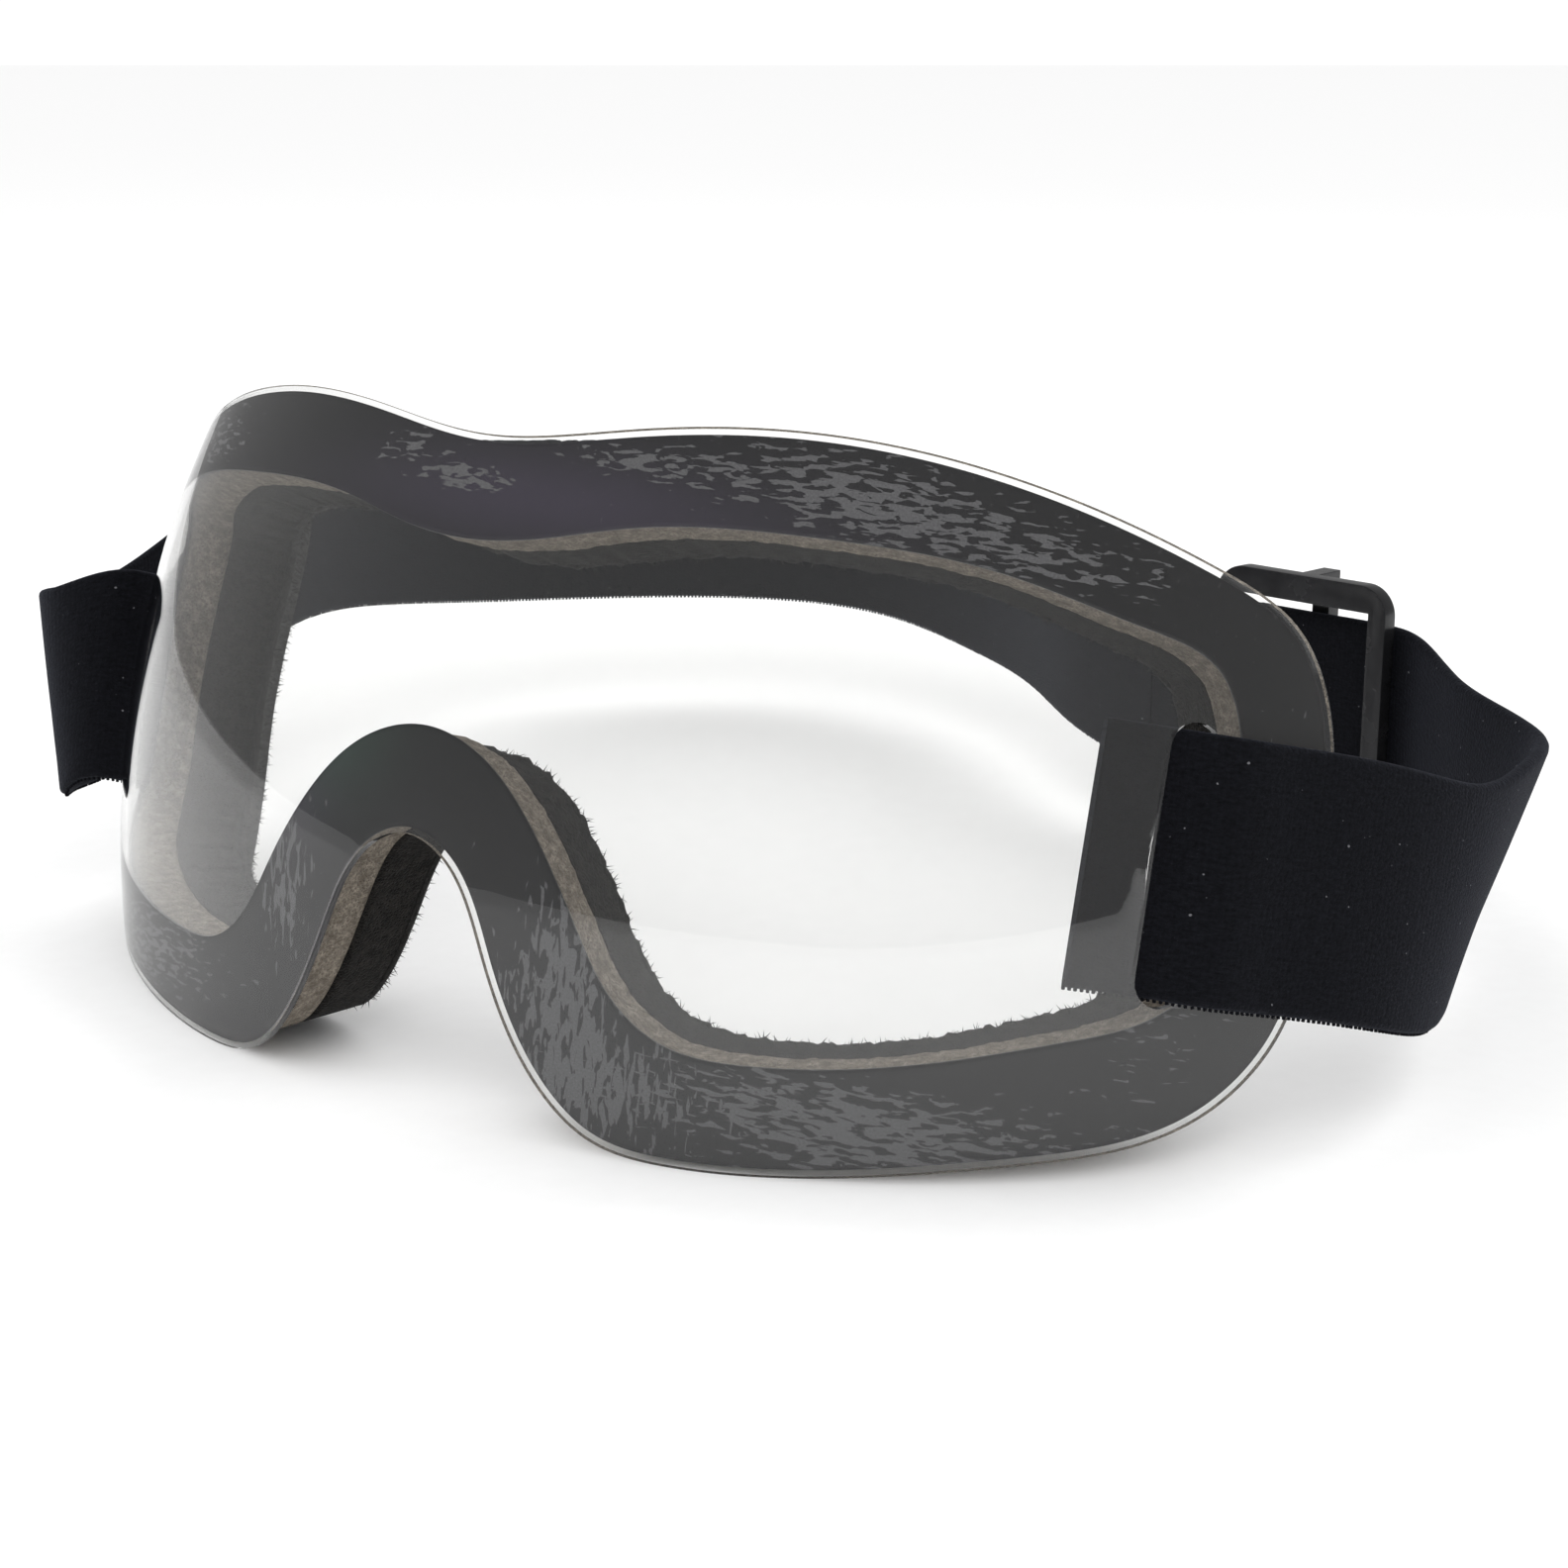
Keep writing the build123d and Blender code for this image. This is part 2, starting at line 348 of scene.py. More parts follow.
@dataclass
class Recipe:
    """A material's node tree while it is being written."""

    name: str
    colour: tuple[float, float, float] = (0.5, 0.5, 0.5)
    material: bpy.types.Material = field(init=False)
    shader: bpy.types.Node = field(init=False)

    def __post_init__(self) -> None:
        """Create the material with one Principled shader."""
        self.material = bpy.data.materials.new(self.name)
        self.material.use_nodes = True
        self.material.diffuse_color = (*self.colour, 1.0)
        self.shader = self.material.node_tree.nodes["Principled BSDF"]

    def set(self, **values: object) -> None:
        """Set the shader's own sockets; underscores stand for spaces."""
        for key, value in values.items():
            self.shader.inputs[key.replace("_", " ")].default_value = value

    def node(self, kind: str, inputs: dict | None = None, **settings: object) -> bpy.types.Node:
        """Add a node.

        Args:
            kind: Node type name without its ShaderNode prefix.
            inputs: Socket values or links, keyed by name or by index.
            settings: Attributes of the node.

        Returns:
            The new node.
        """
        made = self.material.node_tree.nodes.new("ShaderNode" + kind)
        for key, value in settings.items():
            setattr(made, key, value)
        for key, value in (inputs or {}).items():
            if isinstance(value, bpy.types.NodeSocket):
                self.link(value, made.inputs[key])
            else:
                made.inputs[key].default_value = value
        return made

    def link(self, source: bpy.types.NodeSocket, target: bpy.types.NodeSocket | str) -> None:
        """Join two sockets; a text target is one of the shader's inputs."""
        if isinstance(target, str):
            target = self.shader.inputs[target]
        self.material.node_tree.links.new(source, target)

    def place(self, scale: tuple[float, float, float], uv: bool = False,
              turn: float = 0.0) -> bpy.types.NodeSocket:
        """Pattern coordinates, from the object or from its UV map.

        Args:
            scale: Stretch of the pattern along each axis.
            uv: Whether to read the UV map.
            turn: Turn about the third axis, in radians.

        Returns:
            The coordinates.
        """
        coords = self.node("TexCoord").outputs["UV" if uv else "Object"]
        mapping = self.node("Mapping", {"Vector": coords, "Scale": scale})
        mapping.inputs["Rotation"].default_value = (0, 0, turn)
        return mapping.outputs["Vector"]

    def noise(self, vector: bpy.types.NodeSocket, scale: float, detail: float = 3.0,
              rough: float = 0.55, warp: float = 0.0) -> bpy.types.NodeSocket:
        """Grey noise on a set of coordinates.

        Args:
            vector: The coordinates.
            scale: Size of the pattern, as grains to a unit.
            detail: How many finer layers it has.
            rough: How strong the finer layers are.
            warp: How far the pattern is pulled about.

        Returns:
            The noise's value.
        """
        made = self.node("TexNoise", {"Vector": vector, "Scale": scale, "Detail": detail,
                                      "Roughness": rough, "Distortion": warp})
        return made.outputs["Fac"]

    def grain(self, vector: bpy.types.NodeSocket, scale: float, span: tuple[float, float],
              to: tuple[float, float] = (0.0, 1.0), detail: float = 3.0, rough: float = 0.55,
              warp: float = 0.0) -> bpy.types.NodeSocket:
        """The shared grain effect on a set of coordinates.

        Args:
            vector: The coordinates.
            scale: How many grains there are to a unit.
            span: The noise values that become the two ends of to.
            to: The lowest and highest result.
            detail: How many finer layers the noise has.
            rough: How strong the finer layers are.
            warp: How far the pattern is pulled about.

        Returns:
            The grain's value.
        """
        made = self.node("Group", node_tree=grain_group())
        values = {"Scale": scale, "Detail": detail, "Roughness": rough, "Distortion": warp,
                  "From Min": span[0], "From Max": span[1], "To Min": to[0], "To Max": to[1]}
        for label, value in values.items():
            made.inputs[label].default_value = value
        self.link(vector, made.inputs["Vector"])
        return made.outputs["Value"]

    def ramp(self, value: bpy.types.NodeSocket, low: float, high: float,
             start: float = 0.0, stop: float = 1.0) -> bpy.types.NodeSocket:
        """Map a value from one range to another, clamped.

        Args:
            value: The value to map.
            low: Value that becomes start.
            high: Value that becomes stop.
            start: Result at low.
            stop: Result at high.

        Returns:
            The mapped value.
        """
        made = self.node("MapRange", {"Value": value, "From Min": low, "From Max": high,
                                      "To Min": start, "To Max": stop})
        return made.outputs["Result"]

    def mix(self, factor: bpy.types.NodeSocket | float, first: object,
            second: object) -> bpy.types.NodeSocket:
        """Blend two colours.

        Args:
            factor: Share of the second colour.
            first: The first colour, as numbers or a socket.
            second: The second colour, as numbers or a socket.

        Returns:
            The blended colour.
        """
        made = self.node("Mix", data_type="RGBA")
        for index, value in ((0, factor), (6, first), (7, second)):
            if isinstance(value, bpy.types.NodeSocket):
                self.link(value, made.inputs[index])
            elif index == 0:
                made.inputs[0].default_value = value
            else:
                made.inputs[index].default_value = (*value, 1.0)
        return made.outputs[2]

    def math(self, operation: str, first: object, second: object = 0.0) -> bpy.types.NodeSocket:
        """One arithmetic step on numbers or sockets."""
        made = self.node("Math", {0: first, 1: second}, operation=operation)
        return made.outputs[0]

    def mask(self, name: str) -> bpy.types.NodeSocket:
        """A number stored on the piece's vertices."""
        return self.node("Attribute", attribute_name=name).outputs["Fac"]

    def bump(self, height: bpy.types.NodeSocket, distance: float, strength: float = 1.0,
             after: bpy.types.NodeSocket | None = None) -> bpy.types.NodeSocket:
        """Raise the surface by a height.

        Args:
            height: The height, from 0 to 1.
            distance: Rise at full height, in metres.
            strength: Share of the rise that shows.
            after: A normal to build on.

        Returns:
            The new normal.
        """
        made = self.node("Bump", {"Height": height, "Distance": distance, "Strength": strength})
        if after is not None:
            self.link(after, made.inputs["Normal"])
        return made.outputs["Normal"]


@dataclass(frozen=True)
class ClearLensFinish:
    """Hard-coated clear polycarbonate, with faint handling haze."""

    tint: tuple[float, float, float] = (0.93, 0.932, 0.922)
    handled: tuple[float, float, float] = (0.915, 0.918, 0.908)
    index: float = 1.52
    smears: float = 60.0
    scuffs: float = 900.0
    scuff_haze: float = 0.045

    def build(self) -> bpy.types.Material:
        """Write the material and return it."""
        r = Recipe("clear_polycarbonate", self.tint)
        r.set(IOR=self.index, Transmission_Weight=1.0, Metallic=0.0)
        smear = r.grain(r.place((1, 1, 1)), self.smears, (0.35, 0.7), detail=4.0, rough=0.6, warp=0.4)
        r.link(r.mix(smear, self.tint, self.handled), "Base Color")
        scuff = r.grain(r.place((1, 1, 3)), self.scuffs, (0.55, 0.8), (0.0, self.scuff_haze), detail=2.0)
        r.link(scuff, "Roughness")
        tree = r.material.node_tree
        out = tree.nodes["Material Output"]
        clear = r.node("BsdfTransparent", {"Color": (0.9, 0.9, 0.9, 1.0)})
        path = r.node("LightPath")
        soft = r.math("MAXIMUM", path.outputs["Is Shadow Ray"], path.outputs["Is Diffuse Ray"])
        blend = r.node("MixShader", {0: soft})
        r.link(r.shader.outputs[0], blend.inputs[1])
        r.link(clear.outputs[0], blend.inputs[2])
        r.link(blend.outputs[0], out.inputs["Surface"])
        return r.material


@dataclass(frozen=True)
class FilmFinish:
    """Black adhesive film, dull grey where it has not wetted the lens, with violet patches of painted
    reflection.
    """

    wet: tuple[float, float, float] = (0.006, 0.006, 0.007)
    dry: tuple[float, float, float] = (0.088, 0.088, 0.092)

    def build(self) -> bpy.types.Material:
        """Write the material and return it."""
        r = Recipe("adhesive_film", self.wet)
        flat = r.place((1, 1, 1), uv=True)
        streak = r.noise(r.place((360, 1500, 1), uv=True), 1.0, 2.0, 0.5, 0.5)
        slanted = r.noise(r.place((1300, 330, 1), uv=True, turn=0.35), 1.0, 2.0, 0.5, 0.5)
        lying = r.math("ADD", streak, r.math("MULTIPLY", r.mask("dry"), 0.34))
        leaning = r.math("ADD", slanted, r.math("MULTIPLY", r.mask("dry_slant"), 0.36))
        both = r.math("MAXIMUM", lying, leaning)
        patch = r.ramp(both, 0.775, 0.795)
        dust = r.grain(flat, 1300.0, (0.82, 0.84), (0.0, 0.5), detail=1.0)
        both = r.math("MAXIMUM", patch, dust)
        grain = r.grain(flat, 4000.0, (0.3, 0.7), (0.75, 1.15), detail=2.0)
        tone = r.node("Mix", {0: 1.0, 6: (*self.dry, 1.0)}, data_type="RGBA", blend_type="MULTIPLY")
        r.link(grain, tone.inputs[7])
        cloud = r.grain(flat, 9.0, (0.35, 0.7))
        base = r.mix(cloud, self.wet, (0.013, 0.0125, 0.014))
        # violet patches: a painted reflection on the lens, put into the film's colour
        tint_and_reflection = r.mix(r.mask("violet_reflection"), base, (0.045, 0.034, 0.062))
        tint_and_reflection = r.mix(r.mask("green"), tint_and_reflection, (0.022, 0.062, 0.042))
        r.link(r.mix(both, tint_and_reflection, tone.outputs[2]), "Base Color")
        r.link(r.ramp(both, 0, 1, 0.42, 0.75), "Roughness")
        r.link(r.bump(both, 0.00001, 0.3), "Normal")
        return r.material


@dataclass(frozen=True)
class FoamFinish:
    """Open-cell foam: speckled cells, with pores painted darker as painted shade in their hollows."""

    name: str
    wall: tuple[float, float, float]
    # pore colour: painted shade in the hollows, also the dark end of the random mottle
    pore_shade_and_mottle: tuple[float, float, float]
    cells: float = 2300.0

    def build(self) -> bpy.types.Material:
        """Write the material and return it."""
        r = Recipe(self.name, self.wall)
        at = r.place((1, 1, 1))
        cell = r.node("TexVoronoi", {"Vector": at, "Scale": self.cells, "Randomness": 1.0})
        fine = r.node("TexVoronoi", {"Vector": at, "Scale": self.cells * 2.1}, feature="F1")
        pits = r.math("MULTIPLY", r.ramp(cell.outputs["Distance"], 0.1, 0.55),
                      r.ramp(fine.outputs["Distance"], 0.05, 0.5))
        mottle = r.grain(at, 700.0, (0.35, 0.7), detail=4.0, rough=0.7)
        body = r.mix(mottle, self.pore_shade_and_mottle, self.wall)
        # pits take the pore colour: painted shade in the hollows, which the bump below also sinks
        r.link(r.mix(pits, self.pore_shade_and_mottle, body), "Base Color")
        r.set(Roughness=0.95, Sheen_Weight=0.04, Sheen_Roughness=0.4)
        r.shader.inputs["Specular IOR Level"].default_value = 0.15
        r.link(r.bump(pits, 0.00028, 0.9), "Normal")
        return r.material


@dataclass(frozen=True)
class FleeceFinish:
    """Brushed black fleece and its loose fibres."""

    dark: tuple[float, float, float] = (0.012, 0.011, 0.010)
    light: tuple[float, float, float] = (0.030, 0.028, 0.026)

    def build(self) -> bpy.types.Material:
        """Write the material and return it."""
        r = Recipe("face_fleece", self.dark)
        at = r.place((1, 1, 1))
        tuft = r.noise(at, 1500.0, 4.0, 0.75, 0.5)
        r.link(r.mix(r.ramp(tuft, 0.4, 0.75), self.dark, self.light), "Base Color")
        r.set(Roughness=1.0, Sheen_Weight=0.05, Sheen_Roughness=0.4)
        r.link(r.bump(tuft, 0.0004, 1.0), "Normal")
        return r.material


@dataclass(frozen=True)
class StrapFinish:
    """Black plush elastic: a short nap over fine knitted ribs."""

    dark: tuple[float, float, float] = (0.0012, 0.0013, 0.0020)
    light: tuple[float, float, float] = (0.0075, 0.0080, 0.0110)

    def build(self) -> bpy.types.Material:
        """Write the material and return it."""
        r = Recipe("strap_plush", self.dark)
        along = r.place((1, 1, 1), uv=True)
        knit = r.noise(r.place((0.45, 1.6, 1), uv=True), 1500.0, 3.0, 0.7)
        nap = r.noise(along, 2600.0, 2.0, 0.7)
        ribs = r.node("TexWave", {"Vector": along, "Scale": 380.0, "Distortion": 2.5,
                                  "Detail": 2.0, "Detail Scale": 3.0}, bands_direction="X")
        fur = r.math("ADD", r.math("MULTIPLY", knit, 0.7), r.math("MULTIPLY", nap, 0.5))
        fur = r.math("ADD", fur, r.math("MULTIPLY", ribs.outputs["Fac"], 0.05))
        worn = r.grain(along, 30.0, (0.35, 0.75), (0.85, 1.2))
        tone = r.math("MULTIPLY", r.ramp(fur, 0.45, 0.95), worn)
        lint = r.grain(along, 1500.0, (0.85, 0.87), detail=0.0)
        r.link(r.mix(lint, r.mix(tone, self.dark, self.light), (0.12, 0.12, 0.13)), "Base Color")
        r.set(Roughness=0.95, Sheen_Weight=0.07, Sheen_Roughness=0.45)
        r.set(Sheen_Tint=(0.55, 0.6, 0.8, 1.0))
        r.shader.inputs["Specular IOR Level"].default_value = 0.12
        r.link(r.bump(fur, 0.00035, 0.9), "Normal")
        return r.material


@dataclass(frozen=True)
class SliderFinish:
    """Moulded black acetal, a little brighter in faint random patches."""

    colour: tuple[float, float, float] = (0.010, 0.010, 0.011)

    def build(self) -> bpy.types.Material:
        """Write the material and return it."""
        r = Recipe("slider_acetal", self.colour)
        at = r.place((1, 1, 1))
        grain = r.noise(at, 1800.0, 3.0)
        haze = r.grain(at, 120.0, (0.35, 0.75), detail=4.0, rough=0.6)
        r.link(r.mix(haze, self.colour, (0.019, 0.019, 0.021)), "Base Color")
        r.link(r.ramp(haze, 0, 1, 0.2, 0.34), "Roughness")
        r.set(Specular_IOR_Level=0.3)
        r.link(r.bump(grain, 0.00003, 0.5), "Normal")
        return r.material


# ------------------------------------------------------------------ pieces


@dataclass
class Patch:
    """An elliptical area of the adhesive film, on the flat blank."""

    reach: float
    height: float
    half_reach: float
    half_height: float
    strength: float = 1.0
    turn: float = 0.0

    def weight(self, spots: np.ndarray) -> np.ndarray:
        """How strongly each blank place lies inside the area."""
        turn = math.radians(self.turn)
        dx, dy = spots[:, 0] - self.reach, spots[:, 1] - self.height
        u = (dx * math.cos(turn) + dy * math.sin(turn)) / self.half_reach
        v = (dy * math.cos(turn) - dx * math.sin(turn)) / self.half_height
        return self.strength * np.exp(-(u**2 + v**2))


@dataclass
class Lens:
    """The bent clear sheet with its two strap slots."""

    form: LensForm
    thickness: float = 1.0
    grid: float = 2.6
    slot_reach: float = 91.5
    slot_middle: float = 1.8
    slot_length: float = 32.0
    slot_width: float = 6.4
    slot_steps: int = 10

    def slot_loop(self, side: Side) -> np.ndarray:
        """The closed outline of one slot, with round ends."""
        half, radius = self.slot_length / 2, self.slot_width / 2
        turns = np.linspace(0, math.pi, self.slot_steps + 1)
        top = np.stack([radius * np.cos(turns), half - radius + radius * np.sin(turns)], axis=1)
        loop = np.concatenate([top, -top])
        return loop + (side.value * self.slot_reach, self.slot_middle)

    def sheet(self) -> tuple[np.ndarray, list[list[int]]]:
        """Triangulate the flat blank.

        Returns:
            The blank places and the faces.
        """
        rims = [LENS_BLANK.whole(), self.slot_loop(Side.RIGHT), self.slot_loop(Side.LEFT)]
        edges, start = [], 0
        for rim in rims:
            ring = np.arange(start, start + len(rim))
            edges += list(zip(ring.tolist(), np.roll(ring, -1).tolist()))
            start += len(rim)
        inner = []
        for x in np.arange(-110, 110, self.grid):
            for y in np.arange(-42, 44, self.grid):
                inner.append((x, y))
        inner = np.array(inner)
        keep = np.ones(len(inner), bool)
        for rim in rims:
            gap = np.min(np.linalg.norm(inner[:, None] - rim[None], axis=2), axis=1)
            keep &= gap > self.grid * 0.45
        keep &= np.array([
            inside(spot, rims[0]) and not inside(spot, rims[1]) and not inside(spot, rims[2])
            for spot in inner
        ])
        inner = inner[keep]
        flat = np.concatenate(rims + [inner])
        result = delaunay_2d_cdt([Vector(p) for p in flat], edges, [], 0, 1e-5)
        places = np.array([tuple(v) for v in result[0]])
        faces = []
        for face in result[2]:
            middle = places[face].mean(axis=0)
            if inside(middle, rims[0]) and not inside(middle, rims[1]) and not inside(middle, rims[2]):
                faces.append(list(face))
        return places, faces

    def build(self) -> bpy.types.Object:
        """Make the closed lens shell."""
        flat, faces = self.sheet()
        front = self.form.place(flat[:, 0], flat[:, 1], 0.0)
        back = self.form.place(flat[:, 0], flat[:, 1], self.thickness)
        size = len(flat)
        shell = [list(f) for f in faces] + [[i + size for i in reversed(f)] for f in faces]
        count: dict[tuple[int, int], int] = {}
        for face in faces:
            for a, b in zip(face, face[1:] + face[:1]):
                count[(a, b)] = count.get((a, b), 0) + 1
        for a, b in count:
            if (b, a) not in count:
                shell.append([b, a, a + size, b + size])
        piece = new_piece("lens_sheet", np.concatenate([front, back]), shell, 30)
        write_uv(piece, np.concatenate([flat, flat]) * MM)
        face_outwards(piece)
        piece.data.materials.append(ClearLensFinish().build())
        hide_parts("lens")
        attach(piece, "goggles")
        return piece


def inside(spot: np.ndarray, loop: np.ndarray) -> bool:
    """Whether a flat point lies inside a closed loop."""
    x, y = spot
    a, b = loop, np.roll(loop, -1, axis=0)
    crosses = (a[:, 1] > y) != (b[:, 1] > y)
    rise = np.where(crosses, b[:, 1] - a[:, 1], 1.0)
    at = a[:, 0] + (y - a[:, 1]) * (b[:, 0] - a[:, 0]) / rise
    return bool(np.count_nonzero(crosses & (at > x)) % 2)


def ripple(count: int, seed: int, waves: Sequence[int], amount: float) -> np.ndarray:
    """A closed, seeded wobble around a ring.

    Args:
        count: How many stations the ring has.
        seed: Seed of its phases.
        waves: How many waves each part of the wobble has.
        amount: Its size in millimetres.

    Returns:
        One offset for each station.
    """
    rng = np.random.default_rng(seed)
    turn = np.linspace(0, 2 * math.pi, count, endpoint=False)
    total = np.zeros(count)
    for wave in waves:
        total += rng.uniform(0.5, 1.0) * np.sin(wave * turn + rng.uniform(0, 2 * math.pi))
    return amount * total / math.sqrt(len(waves))


@dataclass
class SealLayer:
    """One ring of the glued face seal."""

    name: str
    node: str
    slot: str
    front: float
    back: float
    front_taper: float
    back_taper: float
    rounding: float = 0.6
    outer_inset: float = 1.3
    ragged: float = 0.0
    wall_steps: int = 7
    face_steps: int = 8
    seed: int = 3

    def profile(self, width: float) -> np.ndarray:
        """The layer's closed cross-section, as (distance from the window, depth)."""
        r = min(self.rounding, (self.back - self.front) * 0.45)
        low, high = self.front, self.back
        spots = []
        for t in np.linspace(0, 1, self.face_steps):
            spots.append((r + t * (width - 2 * r), low))
        for t in np.linspace(0, 1, self.wall_steps):
            spots.append((width, low + r + t * (high - low - 2 * r)))
        for t in np.linspace(1, 0, self.face_steps):
            spots.append((r + t * (width - 2 * r), high))
        for t in np.linspace(1, 0, self.wall_steps):
            spots.append((0.0, low + r + t * (high - low - 2 * r)))
        return np.array(spots)

    def build(self, form: LensForm, finish: bpy.types.Material) -> bpy.types.Object:
        """Sweep the cross-section round the window.

        Args:
            form: The surface that the layer follows.
            finish: Its material.

        Returns:
            The closed ring.
        """
        window, rim = WINDOW_BLANK.whole(), LENS_BLANK.whole(self.outer_inset)
        across = rim - window
        width = np.linalg.norm(across, axis=1)
        across /= width[:, None]
        count = len(window)
        rough = ripple(count, self.seed, (37, 61, 97, 149, 211, 263), self.ragged)
        sections, blank = [], []
        for i in range(count):
            path = self.profile(width[i])
            share = (path[:, 1] - self.front) / (self.back - self.front)
            taper = self.front_taper + (self.back_taper - self.front_taper) * share
            near = np.clip(1 - path[:, 0] / width[i], 0, 1)
            shift = path[:, 0] - (taper + rough[i] * share) * near
            spot = window[i] + across[i] * shift[:, None]
            blank.append(spot)
            sections.append(form.place(spot[:, 0], spot[:, 1], path[:, 1]))
        points = np.concatenate(sections)
        ring = len(sections[0])
        faces = []
        for i in range(count):
            j = (i + 1) % count
            for k in range(ring):
                m = (k + 1) % ring
                faces.append((i * ring + k, j * ring + k, j * ring + m, i * ring + m))
        piece = new_piece(self.name, points, faces, 60)
        flat = np.concatenate(blank)
        write_uv(piece, flat * MM)
        face_outwards(piece)
        piece.data.materials.append(finish)
        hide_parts(self.node)
        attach(piece, "goggles")
        return piece


@dataclass
class Ribbon:
    """A flat elastic band with rounded edges along a route.

    Lengths are in millimetres. The band leans with the lens where it is
    near it, and stands upright further back.
    """

    name: str
    route: np.ndarray
    node: str
    body: str
    width: float = 30.0
    thickness: float = 1.8
    lean: float = 16.0
    leaning_to: float = 50.0
    upright_from: float = 110.0
    steps: int = 260
    side_steps: int = 22
    roll: float = 0.0
    roll_span: tuple[float, float, float] = (0.2, 0.46, 0.66)

    def frames(self) -> tuple[np.ndarray, np.ndarray, np.ndarray]:
        """Middles, across directions and rise directions along the band."""
        middle = resample(cubic_through(self.route, self.steps * 6), self.steps + 1)
        along = np.gradient(middle, axis=0)
        along[:, 2] = 0.0
        along /= np.linalg.norm(along, axis=1)[:, None]
        share = (self.upright_from - middle[:, 1]) / (self.upright_from - self.leaning_to)
        tip = np.radians(self.lean * np.clip(share, 0, 1))
        rise = np.stack([np.zeros_like(tip), np.sin(tip), np.cos(tip)], axis=1)
        across = np.cross(along, rise)
        across /= np.linalg.norm(across, axis=1)[:, None]
        at = np.linspace(0, 1, len(middle))
        low, peak, high = self.roll_span
        up, down = np.clip((at - low) / (peak - low), 0, 1), np.clip((high - at) / (high - peak), 0, 1)
        ease = np.minimum(up, down)
        turn = np.radians(self.roll) * ease * ease * (3 - 2 * ease)
        turn = turn[:, None]
        tipped = rise * np.cos(turn) + across * np.sin(turn)
        return middle, across * np.cos(turn) - rise * np.sin(turn), tipped

    def profile(self) -> np.ndarray:
        """The closed cross-section, as (across the thickness, up the width)."""
        half, r = self.width / 2, self.thickness / 2
        heights = np.linspace(-half + r, half - r, self.side_steps)
        cap = np.linspace(0, math.pi, 7)[1:-1]
        front = [(r, h) for h in heights]
        top = [(r * math.cos(a), half - r + r * math.sin(a)) for a in cap]
        back = [(-r, h) for h in heights[::-1]]
        low = [(-r * math.cos(a), -half + r - r * math.sin(a)) for a in cap]
        return np.array(front + top + back + low)

    def build(self, finish: bpy.types.Material) -> bpy.types.Object:
        """Sweep the band.

        Args:
            finish: Its material.

        Returns:
            The closed band, not yet riding on a body.
        """
        middle, across, rise = self.frames()
        section = self.profile()
        ring, count = len(section), len(middle)
        crown = 0.16 * np.cos(section[:, 1] / self.width * math.pi) * np.sign(section[:, 0])
        wave = ripple(count, 11, (3, 5, 8), 0.12)
        body = (
            middle[:, None]
            + across[:, None] * (section[:, 0] + crown)[None, :, None]
            + rise[:, None] * (section[:, 1][None, :] * (1 + wave[:, None] / self.width * 0.4))[..., None]
        )
        points = body.reshape(-1, 3)
        faces = []
        for i in range(count - 1):
            for k in range(ring):
                m = (k + 1) % ring
                faces.append((i * ring + k, (i + 1) * ring + k, (i + 1) * ring + m, i * ring + m))
        faces.append(list(range(ring)))
        faces.append([(count - 1) * ring + k for k in reversed(range(ring))])
        piece = new_piece(self.name, points, faces, 60)
        far = np.concatenate([[0], np.cumsum(np.linalg.norm(np.diff(middle, axis=0), axis=1))])
        uv = np.stack([np.repeat(far, ring), np.tile(section[:, 1], count)], axis=1) * MM
        write_uv(piece, uv)
        face_outwards(piece)
        piece.data.materials.append(finish)
        return piece


def nodes_tree(name: str, sockets: dict[str, tuple[str, object]]) -> bpy.types.NodeTree:
    """Start a geometry tree with named inputs.

    Args:
        name: The tree's name.
        sockets: Kind and default value of each input.

    Returns:
        The tree, with its group input and output nodes in place.
    """
    tree = bpy.data.node_groups.new(name, "GeometryNodeTree")
    tree.interface.new_socket("Geometry", in_out="INPUT", socket_type="NodeSocketGeometry")
    for label, (kind, value) in sockets.items():
        made = tree.interface.new_socket(label, in_out="INPUT", socket_type=kind)
        if value is not None:
            made.default_value = value
    tree.interface.new_socket("Geometry", in_out="OUTPUT", socket_type="NodeSocketGeometry")
    tree.nodes.new("NodeGroupInput")
    tree.nodes.new("NodeGroupOutput")
    return tree


